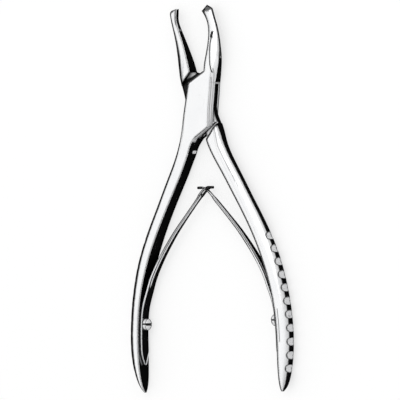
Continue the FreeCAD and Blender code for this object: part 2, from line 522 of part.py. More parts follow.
def strip(name, centre, ths, side, start_arc=None, width=12.0, hollow=None):
    """Thin curved strip, drawn in plan and padded through the middle plane."""
    a, b = offset_path(centre, ths)
    a = [(side * x, -y) for x, y in a]
    b = [(side * x, -y) for x, y in b]
    ka, kb = a[::3] + ([a[-1]] if (len(a) - 1) % 3 else []), b[::3] + ([b[-1]] if (len(b) - 1) % 3 else [])
    body = doc.addObject("PartDesign::Body", name + "_strip")
    plane = [f for f in body.Origin.OriginFeatures if f.Role == "XY_Plane"][0]
    sk = body.newObject("Sketcher::SketchObject", name + "_profile")
    sk.AttachmentSupport = [(plane, "")]
    sk.MapMode = "FlatFace"
    sk.AttachmentOffset = Placement(V(0, 0, ZM - width / 2), Rotation())
    sk.setExpression("AttachmentOffset.Base.z", "Sizes.box_depth / 2 - %s" % (width / 2))
    g = []
    ba = Part.BSplineCurve()
    ba.interpolate([V(x, y, 0) for x, y in ka])
    bb = Part.BSplineCurve()
    bb.interpolate([V(x, y, 0) for x, y in kb])
    g = [ba, bb]
    sk.addGeometry(g, False)

    def bulge(p, q, ctr, r, out):
        m = ((p[0] + q[0]) / 2, (p[1] + q[1]) / 2)
        mid = (ctr[0] + out[0] * r, ctr[1] + out[1] * r)
        return Part.Arc(V(p[0], p[1], 0), V(mid[0], mid[1], 0), V(q[0], q[1], 0))
    if start_arc:
        ctr, r, out = start_arc
        sk.addGeometry(bulge(a[0], b[0], ctr, r, out), False)
    else:
        sk.addGeometry(Part.LineSegment(V(*a[0], 0), V(*b[0], 0)), False)
    if hollow:
        ctr, r, out = hollow
        sk.addGeometry(bulge(a[-1], b[-1], ctr, r, out), False)
    else:
        t = (centre[-1][0] - centre[-2][0], centre[-1][1] - centre[-2][1])
        L = math.hypot(*t)
        h = ths[-1] / 2
        mid = (side * (centre[-1][0] + t[0] / L * h), -(centre[-1][1] + t[1] / L * h))
        sk.addGeometry(Part.Arc(V(*a[-1], 0), V(*mid, 0), V(*b[-1], 0)), False)
    pad = body.newObject("PartDesign::Pad", name + "_pad")
    pad.Profile = sk
    pad.Length = width
    return body


def side_trim(name, side, rows, x_lo=-60.0, x_hi=60.0):
    """Shape of a leaf seen square to the handles: half width against distance
    below the pin, as a closed outline through which the strip is kept."""
    f = [(-y, hw) for y, hw in rows]
    pts = [(y, ZM + hw) for y, hw in f] + [(y, ZM - hw) for y, hw in f[::-1]]
    wire = Part.makePolygon([V(x_lo, y, z) for y, z in pts] + [V(x_lo, pts[0][0], pts[0][1])])
    o = doc.addObject("Part::Feature", name)
    o.Shape = Part.Face(wire).extrude(V(x_hi - x_lo, 0, 0))
    return o


LW, LT = S["leaf_width"], S["leaf_tip_width"]
# root piece: clamped along the handle, pointed at its lower end
root_c = []
for y in [119.9, 117.0, 114.0, 111.0, 108.0, 105.0, 102.0, 99.5, 97.0]:
    root_c.append((f_left_in(y) - T0 / 2 - 0.03, y))
root_c += [(f_left_in(94.0) - T0 / 2 - 0.18, 94.0), (f_left_in(91.0) - T0 / 2 - 0.55, 91.0), FLEX]
root_path = dense(root_c, 0.8)


def trim_path(path, d, at_start):
    """Drop the part of a path nearer than d to its start or end."""
    p0 = path[0] if at_start else path[-1]
    q = [p for p in path if math.hypot(p[0] - p0[0], p[1] - p0[1]) >= d]
    return q


def taper(path, t_a, t_b):
    n = len(path)
    return [t_a + (t_b - t_a) * i / (n - 1.0) for i in range(n)]


def build_spring(tag, side, kind):
    gap = S["flex_gap"]
    r_in = T0 / 2
    # ---- root
    rp = root_path
    body = strip(tag + "_root", rp, [T0] * len(rp), side,
                 hollow=((side * FLEX[0], -FLEX[1]), r_in,
                         (lambda t: (side * t[0], -t[1]))((lambda d: (d[0] / math.hypot(*d), d[1] / math.hypot(*d)))(
                             (rp[-1][0] - rp[-2][0], rp[-1][1] - rp[-2][1])))))
    trim = side_trim(tag + "_root_outline", side,
                     [(120.4, 0.25), (119.3, 0.85), (117.0, 1.95), (115.0, 2.6), (113.0, LW / 2), (96.0, LW / 2), (86.0, LW / 2 - 0.15)])
    com = doc.addObject("Part::MultiCommon", tag + "_root_blank")
    com.Shapes = [body, trim]
    (x, y), n = face_frame(f_left_in if side < 0 else f_right_in, side, SCREW_Y)
    hole = doc.addObject("Part::Cylinder", tag + "_root_hole")
    hole.setExpression("Radius", "Sizes.screw_shank_radius + 0.2")
    hole.Height = 8.0
    hole.Placement = Placement(V(x - n[0] * 4, y - n[1] * 4, ZM), Rotation(V(0, 0, 1), V(n[0], n[1], 0)))
    root = doc.addObject("Part::Cut", tag + "_spring_root")
    root.Base = com
    root.Tool = hole
    # ---- blade
    free_path = dense([FLEX] + FREE + (EYE_END if kind == "eye" else TONGUE_END), 0.7)
    fp = trim_path(free_path, r_in + gap, True)
    # first point exactly on the clearance circle
    dx, dy = fp[0][0] - FLEX[0], fp[0][1] - FLEX[1]
    L = math.hypot(dx, dy)
    ux, uy = dx / L, dy / L
    # the blade starts beside the knuckle: its corner points lie on the clearance circle
    rr = r_in + gap
    ths = taper(fp, T0 * 0.98, T1)
    back = math.sqrt(max(0.01, rr * rr - (ths[0] / 2) ** 2))
    fp = [(FLEX[0] + ux * back, FLEX[1] + uy * back)] + [p for p in fp if math.hypot(p[0] - FLEX[0], p[1] - FLEX[1]) > back + 0.5]
    ths = taper(fp, T0 * 0.98, T1)
    b2 = strip(tag + "_blade", fp, ths, side, start_arc=((side * FLEX[0], -FLEX[1]), rr, (side * ux, -uy)))
    if kind == "eye":
        rows = [(90.0, LW / 2 - 0.15), (80.0, 2.55), (65.0, 2.1), (52.0, LT / 2 + 0.1), (46.5, LT / 2 + 0.05), (44.2, 1.75),
                (42.6, S["eye_width"] / 2), (36.0, S["eye_width"] / 2)]
    else:
        rows = [(90.0, LW / 2 - 0.15), (80.0, 2.55), (65.0, 2.1), (52.0, LT / 2 + 0.1), (46.0, LT / 2), (44.4, 1.35),
                (43.5, S["tongue_width"] / 2), (36.0, S["tongue_width"] / 2)]
    trim2 = side_trim(tag + "_blade_outline", side, rows)
    com2 = doc.addObject("Part::MultiCommon", tag + "_blade_blank")
    com2.Shapes = [b2, trim2]
    if kind == "eye":
        win = doc.addObject("Part::Box", tag + "_window")
        win.Length = 4.6
        win.Width = 6.0
        win.setExpression("Height", "Sizes.window_width")
        win.Placement = Placement(V(-2.9 if side < 0 else -1.7, -43.2, ZM - S["window_width"] / 2), Rotation())
        blade = doc.addObject("Part::Cut", tag + "_spring_blade")
        blade.Base = com2
        blade.Tool = win
    else:
        blade = com2
        blade.Label = tag + "_spring_blade"
    return root, blade


left_root, left_blade = build_spring("left", -1, "eye")
right_root, right_blade = build_spring("right", 1, "tongue")


# ---------------------------------------------------------------- spring screws
def screw(name, f_in, side):
    """Domed head with a straight slot, neck through the leaf, plain shank."""
    (x, y), n = face_frame(f_in, side, SCREW_Y)
    body = doc.addObject("PartDesign::Body", name)
    plane = [f for f in body.Origin.OriginFeatures if f.Role == "XZ_Plane"][0]
    sk = body.newObject("Sketcher::SketchObject", name + "_half")
    sk.AttachmentSupport = [(plane, "")]
    sk.MapMode = "FlatFace"
    hr, hh, sr, ln = S["screw_head_radius"], S["screw_head_rise"], S["screw_shank_radius"], S["screw_reach"]
    # half profile: axis along the sketch's vertical, head up, seat at zero
    rim = 1.55
    ctr_h = (hh * hh - 2 * hh * rim + rim * rim - hr * hr) / (2 * (hh - rim)) + rim
    R = hh - ctr_h
    ang = math.acos(hr / R)
    mid = (R * math.cos((ang + math.pi / 2) / 2), ctr_h + R * math.sin((ang + math.pi / 2) / 2))
    pts = [(0, -ln), (sr - 0.35, -ln), (sr, -ln + 0.35), (sr, 0), (hr, 0), (hr, rim)]
    g = [Part.LineSegment(V(a[0], a[1], 0), V(b[0], b[1], 0)) for a, b in zip(pts, pts[1:])]
    g.append(Part.Arc(V(hr, rim, 0), V(mid[0], mid[1], 0), V(0, hh, 0)))
    g.append(Part.LineSegment(V(0, hh, 0), V(0, -ln, 0)))
    sk.addGeometry(g, False)
    rev = body.newObject("PartDesign::Revolution", name + "_turned")
    rev.Profile = sk
    rev.ReferenceAxis = (sk, ["V_Axis"])
    rev.Angle = 360.0
    doc.recompute()
    v0 = rev.Shape.Volume
    plane2 = [f for f in body.Origin.OriginFeatures if f.Role == "YZ_Plane"][0]
    sk2 = body.newObject("Sketcher::SketchObject", name + "_slot_profile")
    sk2.AttachmentSupport = [(plane2, "")]
    sk2.MapMode = "FlatFace"
    w, dp = S["screw_slot_width"], S["screw_slot_depth"]
    q = [(-w / 2, hh - dp), (w / 2, hh - dp), (w / 2, hh + 1), (-w / 2, hh + 1)]
    sk2.addGeometry([Part.LineSegment(V(*q[i], 0), V(*q[(i + 1) % 4], 0)) for i in range(4)], False)
    pk = body.newObject("PartDesign::Pocket", name + "_slot")
    pk.Profile = sk2
    pk.Type = 1
    pk.Midplane = True
    doc.recompute()
    print(name, "slot removed", round(v0 - pk.Shape.Volume, 2))
    seat = (x + n[0] * (T0 + 0.06), y + n[1] * (T0 + 0.06))
    # local Z (head up) along the face normal; local X (run of the slot) along the depth
    zx = V(n[0], n[1], 0)
    xx = V(0, 0, 1)
    yy = zx.cross(xx)
    m = FreeCAD.Matrix(xx.x, yy.x, zx.x, seat[0], xx.y, yy.y, zx.y, seat[1], xx.z, yy.z, zx.z, ZM, 0, 0, 0, 1)
    body.Placement = Placement(m)
    return body


left_screw = screw("left_spring_screw", f_left_in, -1)
right_screw = screw("right_spring_screw", f_right_in, 1)

doc.recompute()

# ---------------------------------------------------------------- check and write
NODES = {
    "female_half": female,
    "male_half": male,
    "lock_pin": pin,
    "left_spring_root": left_root,
    "left_spring_blade": left_blade,
    "right_spring_root": right_root,
    "right_spring_blade": right_blade,
    "left_spring_screw": left_screw,
    "right_spring_screw": right_screw,
}
for label, o in NODES.items():
    o.Label = label
bad = [o.Name for o in doc.Objects if "Invalid" in o.State or "Error" in o.State]
if bad:
    raise SystemExit("failed objects: %s" % bad)
for label, o in NODES.items():
    s = o.Shape
    if s.isNull() or not s.isValid():
        raise SystemExit("bad shape: %s" % label)
    sol = s.Solids
    bb = s.BoundBox
    print("%-20s solids %d vol %8.2f  x %.2f..%.2f  y %.2f..%.2f  z %.2f..%.2f" % (
        label, len(sol), s.Volume, bb.XMin, bb.XMax, bb.YMin, bb.YMax, bb.ZMin, bb.ZMax))
    s.exportStep("parts/%s.step" % label)
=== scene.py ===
import bpy
import bmesh
import math
from mathutils import Matrix, Vector


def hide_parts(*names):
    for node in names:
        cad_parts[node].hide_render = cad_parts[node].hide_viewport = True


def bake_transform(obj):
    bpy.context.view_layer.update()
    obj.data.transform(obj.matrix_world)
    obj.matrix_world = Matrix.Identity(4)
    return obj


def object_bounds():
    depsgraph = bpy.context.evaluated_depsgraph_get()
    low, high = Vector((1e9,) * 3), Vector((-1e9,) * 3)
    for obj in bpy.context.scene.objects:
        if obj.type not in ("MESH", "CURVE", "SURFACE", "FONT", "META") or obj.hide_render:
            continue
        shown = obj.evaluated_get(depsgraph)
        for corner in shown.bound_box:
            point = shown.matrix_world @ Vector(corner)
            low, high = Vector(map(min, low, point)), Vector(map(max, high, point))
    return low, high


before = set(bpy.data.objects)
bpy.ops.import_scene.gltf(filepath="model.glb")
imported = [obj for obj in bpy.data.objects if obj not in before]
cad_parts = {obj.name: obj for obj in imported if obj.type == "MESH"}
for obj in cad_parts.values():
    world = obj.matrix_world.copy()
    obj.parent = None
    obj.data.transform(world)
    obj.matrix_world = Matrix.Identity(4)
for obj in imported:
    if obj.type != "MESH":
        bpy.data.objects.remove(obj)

# Double-spring bone rongeur in polished stainless steel, lying on a pale floor.
# Lengths in metres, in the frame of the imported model.
CAD_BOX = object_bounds()
MM = 0.001
ZM = 4.2                                  # middle plane of the instrument, mm

# ------------------------------------------------------------------ camera
# Seen from above, 34 degrees off the vertical towards +X, turned 2.4 degrees.
TILT, TURN = math.radians(34.0), math.radians(2.4)
toward = Vector((math.sin(TILT) * math.cos(TURN), -math.sin(TILT) * math.sin(TURN), math.cos(TILT)))
up = Vector((math.sin(TURN), math.cos(TURN), 0.0))
right = up.cross(toward)
target = Vector((-3.656, -44.89, 4.2)) * MM
FRAME_WIDTH = 183.7 * MM
DIST = 2.2
cam_data = bpy.data.cameras.new("camera")
cam = bpy.data.objects.new("camera", cam_data)
bpy.context.scene.collection.objects.link(cam)
cam.matrix_world = Matrix((
    (right.x, up.x, toward.x, target.x + toward.x * DIST),
    (right.y, up.y, toward.y, target.y + toward.y * DIST),
    (right.z, up.z, toward.z, target.z + toward.z * DIST),
    (0, 0, 0, 1)))
cam_data.sensor_width = 36.0
cam_data.lens = 18.0 / (FRAME_WIDTH / 2 / DIST)
cam_data.clip_start = 0.05
cam_data.clip_end = 50.0
bpy.context.scene.camera = cam


# ------------------------------------------------------------------ materials
def node(nt, kind, x, y, **kw):
    n = nt.nodes.new(kind)
    n.location = (x, y)
    for k, v in kw.items():
        setattr(n, k, v)
    return n


def feed(nt, socket, value):
    """A number goes on the socket itself, anything else is linked to it."""
    if isinstance(value, (int, float)):
        socket.default_value = value
    else:
        nt.links.new(value, socket)


def calc(nt, op, a, b=None, c=None, clamp=False):
    n = node(nt, "ShaderNodeMath", 0, 0, operation=op, use_clamp=clamp)
    for i, v in enumerate((a, b, c)):
        if v is not None:
            feed(nt, n.inputs[i], v)
    return n.outputs["Value"]


def ramp01(nt, value, lo, hi, out_lo=0.0, out_hi=1.0, smooth=True):
    n = node(nt, "ShaderNodeMapRange", 0, 0, interpolation_type="SMOOTHSTEP" if smooth else "LINEAR")
    nt.links.new(value, n.inputs["Value"])
    n.inputs["From Min"].default_value = lo
    n.inputs["From Max"].default_value = hi
    n.inputs["To Min"].default_value = out_lo
    n.inputs["To Max"].default_value = out_hi
    return n.outputs["Result"]


def band(nt, value, lo, hi, soft):
    """One between lo and hi, in metres, with soft ends."""
    return calc(nt, "MULTIPLY", ramp01(nt, value, lo - soft / 2, lo + soft / 2), ramp01(nt, value, hi - soft / 2, hi + soft / 2, 1.0, 0.0))


def both(nt, *masks):
    out = masks[0]
    for m in masks[1:]:
        out = calc(nt, "MULTIPLY", out, m)
    return out


def either(nt, *masks):
    out = masks[0]
    for m in masks[1:]:
        out = calc(nt, "MAXIMUM", out, m)
    return out


def drawn(nt, x, y, points, half, soft=0.00008):
    """A painted shade line on the front, x against falling y, points in mm."""
    total = points[0][0] * MM
    for (x0, y0), (x1, y1) in zip(points, points[1:]):
        total = calc(nt, "ADD", ramp01(nt, y, y0 * MM, y1 * MM, 0.0, (x1 - x0) * MM, smooth=False), total)
    off = calc(nt, "ABSOLUTE", calc(nt, "SUBTRACT", x, total))
    return both(nt, ramp01(nt, off, half * MM - soft, half * MM + soft, 1.0, 0.0), band(nt, y, points[-1][1] * MM, points[0][1] * MM, 0.0008))


def female_zones(nt, x, y, z, nx, nz):
    """Satin sides of the cheeks, and painted shade: in the hollow of the right jaw, along the crease where
    the jaw's front rises into the box, as a dark mark at its head, on the cheek and jaw sides and below the front
    cheek."""
    side = both(nt, ramp01(nt, nx, 0.40, 0.65), ramp01(nt, x, 0.0040, 0.0048), band(nt, y, -0.0165, 0.0086, 0.0010))
    # painted shade in the hollow of the right jaw
    hollow_shade = both(nt, ramp01(nt, nx, -0.20, -0.45), ramp01(nt, y, 0.0330, 0.0345), ramp01(nt, x, 0.0065, 0.0055, 0.0, 1.0))
    front = ramp01(nt, nz, 0.55, 0.70)
    # painted shade line along the crease, and a painted dark mark at its head
    crease = drawn(nt, x, y, [(7.05, 29.3), (6.50, 26.5), (6.25, 23.6), (6.40, 20.0), (6.75, 16.8), (7.35, 14.6), (8.1, 12.9)], 0.27)
    head_shade_mark = drawn(nt, x, y, [(7.55, 32.1), (7.25, 30.8), (7.0, 30.2), (7.1, 28.9)], 0.62)
    # painted highlight: a small satin spot on the inner face of the left handle
    glint = both(nt, ramp01(nt, nx, 0.5, 0.7), ramp01(nt, x, -0.0095, -0.0090), ramp01(nt, x, -0.0040, -0.0045), band(nt, z, 0.0014, 0.0044, 0.0006), band(nt, y, -0.0234, -0.0221, 0.0003))
    turned = ramp01(nt, nx, 0.40, 0.65)
    rise = both(nt, turned, ramp01(nt, z, 0.0054, 0.0057), band(nt, y, 0.0084, 0.0205, 0.0014))
    # painted shade lines along the cheek side and its lower wall
    side_shade_lines = either(nt, drawn(nt, z, y, [(7.75, 15.2), (7.1, 12.5), (6.8, 10.0), (6.8, -14.2)], 0.24, 0.00012), drawn(nt, z, y, [(8.15, 11.0), (7.9, 8.0), (7.9, -14.2)], 0.20, 0.00012))
    side_shade_lines = both(nt, side_shade_lines, turned, ramp01(nt, x, 0.0040, 0.0048), 0.55)
    # painted shade on the lowest part of the cheek side
    low_side_shade = both(nt, side, ramp01(nt, z, 0.0019, 0.0022, 0.85, 0.0))
    # painted shade on the right side of the jaw
    jaw_side_shade = both(nt, turned, ramp01(nt, z, 0.0048, 0.0050, 1.0, 0.0), band(nt, y, 0.0200, 0.0462, 0.0010))
    # floor of the slot, seen below the front cheek
    sill = both(nt, ramp01(nt, nz, 0.90, 0.97), band(nt, z, 0.0024, 0.0030, 0.0001), ramp01(nt, y, -0.0105, -0.0112))
    away = calc(nt, "ADD", calc(nt, "MULTIPLY_ADD", x, -0.7716, -0.7716 * 0.00176), calc(nt, "MULTIPLY_ADD", y, 0.6364, 0.6364 * 0.0151))
    # painted shadow along the lower edge of the front cheek
    shade = both(nt, sill, band(nt, away, -0.00045, 0.00040, 0.0002))
    # lower wall of the front cheek, finished across like its side
    wall = both(nt, ramp01(nt, nx, 0.25, 0.42), ramp01(nt, z, 0.0053, 0.0056), band(nt, y, -0.0182, -0.0105, 0.0010), ramp01(nt, x, 0.0060, 0.0050))
    side_shade_lines = either(nt, side_shade_lines, both(nt, wall, band(nt, z, 0.0064, 0.0069, 0.0002), 0.5), both(nt, wall, band(nt, z, 0.0053, 0.0059, 0.0002), 0.85))
    satin = either(nt, side, glint, rise, wall, calc(nt, "MULTIPLY", sill, 0.85))
    return satin, either(nt, hollow_shade, both(nt, front, either(nt, crease, head_shade_mark)), side_shade_lines, low_side_shade, jaw_side_shade, shade)


def male_zones(nt, x, y, z, nx, nz):
    """Painted shade in the hollow of the left jaw, a painted shadow in the corner where the tongue
    runs under the front cheek, and a satin ground shoulder with light painted shade."""
    hollow = both(nt, ramp01(nt, nx, 0.12, 0.38), ramp01(nt, y, 0.0330, 0.0345), ramp01(nt, x, -0.0190, -0.0180))
    lip = calc(nt, "SUBTRACT", z, ramp01(nt, y, 0.0345, 0.0400, 0.0052, 0.0040, smooth=False))
    # painted shade in the hollow of the left jaw; the lip above it is satin
    hollow_shade = both(nt, hollow, ramp01(nt, lip, -0.0001, 0.0002, 1.0, 0.0))
    lip = both(nt, hollow, ramp01(nt, lip, -0.0001, 0.0002), 0.85)
    # painted shade mark near the tip of the left jaw
    tip_shade_mark = both(nt, ramp01(nt, nz, 0.6, 0.8), drawn(nt, x, y, [(-13.05, 40.2), (-13.0, 38.2), (-12.6, 36.0)], 0.5, 0.0003))
    step = calc(nt, "ADD", calc(nt, "MULTIPLY_ADD", x, -0.459, -0.459 * 0.007085), calc(nt, "MULTIPLY_ADD", y, 0.889, -0.889 * 0.009485))
    low = both(nt, ramp01(nt, nz, 0.90, 0.97), band(nt, z, 0.0050, 0.0059, 0.0001), band(nt, y, -0.0200, 0.0137, 0.0002), ramp01(nt, x, 0.0020, 0.0030, 1.0, 0.0))
    # painted shadow in the corner where the tongue runs under the front cheek
    tongue_shadow = both(nt, low, ramp01(nt, step, 0.00085, 0.00125, 1.0, 0.0))
    # the rest of the shoulder is satin, with a light painted shade
    ground_satin_and_shade = both(nt, low, ramp01(nt, step, 0.00125, 0.00165))
    # painted shadow on the shoulder of the tongue below the front cheek, and painted shade lines along two light
    # creases on the handle and one lower down
    sill = both(nt, ramp01(nt, nz, 0.90, 0.97), band(nt, z, 0.0050, 0.0059, 0.0001), band(nt, y, -0.0175, -0.0095, 0.0002), ramp01(nt, x, 0.0004, 0.0010))
    away = calc(nt, "ADD", calc(nt, "MULTIPLY_ADD", x, -0.606, 0.606 * 0.00306), calc(nt, "MULTIPLY_ADD", y, 0.795, 0.795 * 0.0130))
    shade = both(nt, sill, band(nt, away, -0.00045, 0.00045, 0.0002))
    front = ramp01(nt, nz, 0.55, 0.70)
    creases = either(nt, drawn(nt, x, y, [(7.89, -12.05), (8.24, -14.59), (8.76, -17.83), (9.29, -20.61), (10.17, -22.49), (12.35, -26.72), (14.97, -31.88), (17.85, -35.91), (19.79, -39.9)], 0.20), drawn(nt, x, y, [(11.44, -25.07), (14.9, -30.96), (18.06, -37.53)], 0.18))
    creases = either(nt, calc(nt, "MULTIPLY", creases, 0.50), calc(nt, "MULTIPLY", drawn(nt, x, y, [(39.19, -95.87), (39.78, -103.25), (39.96, -111.07)], 0.20), 0.75))
    satin = either(nt, calc(nt, "MULTIPLY", ground_satin_and_shade, 0.8), lip, calc(nt, "MULTIPLY", sill, 0.85))
    return satin, either(nt, hollow_shade, tongue_shadow, shade, both(nt, front, creases), calc(nt, "MULTIPLY", ground_satin_and_shade, 0.35), calc(nt, "MULTIPLY", tip_shade_mark, 0.55))


def screw_zones(nt, x, y, z, nx, nz):
    """The driver slot, with painted shade inside."""
    slot = band(nt, y, -0.10142, -0.10058, 0.00012)
    return calc(nt, "MULTIPLY", slot, 0.0), calc(nt, "MULTIPLY", slot, 0.95)


def leaf_zones(nt, x, y, z, nx, nz):
    """A bright flat stoned along the front of the inner face, painted shade on the
    ends off the middle and on the front rims, the pointed root end chamfered bright."""
    u = calc(nt, "SUBTRACT", z, 0.0042)
    lo = ramp01(nt, y, -0.0450, -0.0800, 0.00005, 0.00085, smooth=False)
    hi = ramp01(nt, y, -0.0450, -0.0800, 0.00120, 0.00175, smooth=False)
    above = ramp01(nt, calc(nt, "SUBTRACT", u, lo), -0.0001, 0.0001)
    below = ramp01(nt, calc(nt, "SUBTRACT", hi, u), -0.0001, 0.0001)
    inner = ramp01(nt, nx, 0.35, 0.6)
    flat = both(nt, above, below, inner, band(nt, y, -0.0835, -0.0415, 0.003))
    point = calc(nt, "MULTIPLY_ADD", y, -0.444, calc(nt, "SUBTRACT", -0.05291, u))
    point = both(nt, ramp01(nt, point, -0.0001, 0.0001), ramp01(nt, y, -0.1130, -0.1145), ramp01(nt, nx, 0.2, 0.5))
    far = ramp01(nt, calc(nt, "ABSOLUTE", calc(nt, "ADD", x, 0.0003)), 0.0009, 0.0015)
    # painted shade on the ends, away from the middle
    end_shade = both(nt, ramp01(nt, y, -0.0412, -0.0404), far)
    # painted shade on the front rims of the upper leaf
    rim_shade = both(nt, ramp01(nt, nz, 0.30, 0.50), either(nt, both(nt, ramp01(nt, nx, 0.32, 0.02), 0.88), 0.22), ramp01(nt, y, -0.0760, -0.0640))
    return either(nt, flat, point), either(nt, end_shade, rim_shade)


def steel(name, tint, rough, brush, brush_scale, line=0.97, line_radius=1.8, grooves=(), zones=None, matt=0.0, rim_shade=0.0):
    """Polished stainless steel: fine drawn lines along the tool, cloudy polish,
    small handling scratches, painted shade along corners and in deep places,
    and, where asked for, blasted finger grooves, satin zones and painted shade zones."""
    m = bpy.data.materials.new(name)
    m.use_nodes = True
    nt = m.node_tree
    nt.nodes.clear()
    out = node(nt, "ShaderNodeOutputMaterial", 1400, 0)
    sh = node(nt, "ShaderNodeBsdfPrincipled", 1100, 0)
    nt.links.new(sh.outputs["BSDF"], out.inputs["Surface"])
    tc = node(nt, "ShaderNodeTexCoord", -1600, 0)
    geo = node(nt, "ShaderNodeNewGeometry", -1600, 500)
    sep = node(nt, "ShaderNodeSeparateXYZ", -1400, -300)
    nt.links.new(tc.outputs["Object"], sep.inputs["Vector"])
    flat = node(nt, "ShaderNodeCombineXYZ", -1250, -300)
    nt.links.new(sep.outputs["X"], flat.inputs["X"])
    nt.links.new(sep.outputs["Y"], flat.inputs["Y"])

    # long fine lines left by the polishing belt, running along the instrument
    mp = node(nt, "ShaderNodeMapping", -1200, 200)
    mp.inputs["Scale"].default_value = brush_scale
    nt.links.new(tc.outputs["Object"], mp.inputs["Vector"])
    lines = node(nt, "ShaderNodeTexNoise", -1000, 200)
    lines.inputs["Scale"].default_value = 1.0
    lines.inputs["Detail"].default_value = 6.0
    lines.inputs["Roughness"].default_value = 0.6
    nt.links.new(mp.outputs["Vector"], lines.inputs["Vector"])

    # cloudy patches of the buffing wheel
    cloud = node(nt, "ShaderNodeTexNoise", -1000, -100)
    cloud.inputs["Scale"].default_value = 95.0
    cloud.inputs["Detail"].default_value = 4.0
    cloud.inputs["Roughness"].default_value = 0.55
    nt.links.new(tc.outputs["Object"], cloud.inputs["Vector"])

    # thin crossing scratches from handling
    sc = node(nt, "ShaderNodeTexVoronoi", -1000, -400, feature="DISTANCE_TO_EDGE")
    sc.inputs["Scale"].default_value = 240.0
    nt.links.new(tc.outputs["Object"], sc.inputs["Vector"])
    scratch = ramp01(nt, sc.outputs["Distance"], 0.0, 0.02, 1.0, 0.0, smooth=False)

    # grain of the blasted areas
    grain = node(nt, "ShaderNodeTexNoise", -1000, -600)
    grain.inputs["Scale"].default_value = 2600.0
    grain.inputs["Detail"].default_value = 2.0
    nt.links.new(tc.outputs["Object"], grain.inputs["Vector"])

    # the flush pin is ground away with the cheek: no corner shows around it
    plan = node(nt, "ShaderNodeVectorMath", -1100, -800, operation="LENGTH")
    nt.links.new(flat.outputs["Vector"], plan.inputs[0])
    off_pin = ramp01(nt, plan.outputs["Value"], 0.0030, 0.0034)

    # painted shade lines at corners: where the faces around a point turn away from its own direction
    wide = node(nt, "ShaderNodeBevel", -800, 700, samples=12)
    wide.inputs["Radius"].default_value = line_radius * MM
    turn = node(nt, "ShaderNodeVectorMath", -600, 700, operation="DOT_PRODUCT")
    nt.links.new(wide.outputs["Normal"], turn.inputs[0])
    nt.links.new(geo.outputs["Normal"], turn.inputs[1])
    diff = node(nt, "ShaderNodeVectorMath", -600, 850, operation="SUBTRACT")
    nt.links.new(wide.outputs["Normal"], diff.inputs[0])
    nt.links.new(geo.outputs["Normal"], diff.inputs[1])
    dsep = node(nt, "ShaderNodeSeparateXYZ", -450, 850)
    nt.links.new(diff.outputs["Vector"], dsep.inputs["Vector"])
    leftward = ramp01(nt, dsep.outputs["X"], -0.004, -0.024)
    broad = calc(nt, "MULTIPLY", ramp01(nt, turn.outputs["Value"], 0.9990, 0.9925), leftward)
    faint = ramp01(nt, turn.outputs["Value"], 0.9985, 0.990, 0.0, 0.18)
    corner = both(nt, either(nt, ramp01(nt, turn.outputs["Value"], 0.955, 0.925), broad, faint), off_pin)
    # painted shade: rounded left flanks are darkened as they turn out of sight
    lw = node(nt, "ShaderNodeLayerWeight", -600, 1050)
    lw.inputs["Blend"].default_value = 0.5
    gsep = node(nt, "ShaderNodeSeparateXYZ", -450, 1050)
    nt.links.new(geo.outputs["Normal"], gsep.inputs["Vector"])
    flank_shade = both(nt, ramp01(nt, lw.outputs["Facing"], 0.30, 0.42), ramp01(nt, gsep.outputs["X"], -0.12, -0.28))
    corner = either(nt, corner, flank_shade)
    # painted shade along the outline, where the surface turns away from view
    if rim_shade:
        corner = either(nt, corner, ramp01(nt, lw.outputs["Facing"], 0.50, 0.72, 0.0, rim_shade))

    # painted shade in deep places: the slot, the shoulders, the hollows of the jaws
    ao1 = node(nt, "ShaderNodeAmbientOcclusion", -800, -900, samples=10)
    ao1.inputs["Distance"].default_value = 0.0045
    recess_shade = ramp01(nt, ao1.outputs["AO"], 0.50, 0.93, 0.04, 1.0)
    recess_shade = calc(nt, "MAXIMUM", recess_shade, calc(nt, "SUBTRACT", 1.0, off_pin))

    # matt areas
    cut = None
    for cx, cy in grooves:
        d = node(nt, "ShaderNodeVectorMath", -800, -1200, operation="DISTANCE")
        nt.links.new(flat.outputs["Vector"], d.inputs[0])
        d.inputs[1].default_value = (cx * MM, cy * MM, 0.0)
        cut = d.outputs["Value"] if cut is None else calc(nt, "MINIMUM", cut, d.outputs["Value"])
    # painted shade: a dark ring round each finger groove, on faces turned to the front
    groove_ring_shade = None if cut is None else both(nt, band(nt, cut, 0.00216, 0.00242, 0.00010), ramp01(nt, gsep.outputs["Z"], 0.35, 0.60), 0.80)
    cut = 0.0 if cut is None else ramp01(nt, cut, 0.00219, 0.00227, 1.0, 0.0)
    satin, painted_shade = None, None
    if zones:
        nrm = node(nt, "ShaderNodeSeparateXYZ", -1000, -1500)
        nt.links.new(tc.outputs["Normal"], nrm.inputs["Vector"])
        satin, painted_shade = zones(nt, sep.outputs["X"], sep.outputs["Y"], sep.outputs["Z"], nrm.outputs["X"], nrm.outputs["Z"])
    dull = calc(nt, "MAXIMUM", cut, matt if satin is None else calc(nt, "MAXIMUM", satin, matt))

    # roughness = lines + clouds + scratches, and more where it is matt
    r = ramp01(nt, lines.outputs["Fac"], 0.3, 0.7, rough[0], rough[1], smooth=False)
    r = calc(nt, "MULTIPLY_ADD", cloud.outputs["Fac"], 0.05, r)
    r = calc(nt, "MULTIPLY_ADD", scratch, 0.05, r)
    r = calc(nt, "MULTIPLY_ADD", dull, 0.34, r, clamp=True)
    nt.links.new(r, sh.inputs["Roughness"])
    metal = calc(nt, "MULTIPLY_ADD", dull, -0.85, 1.0, clamp=True)

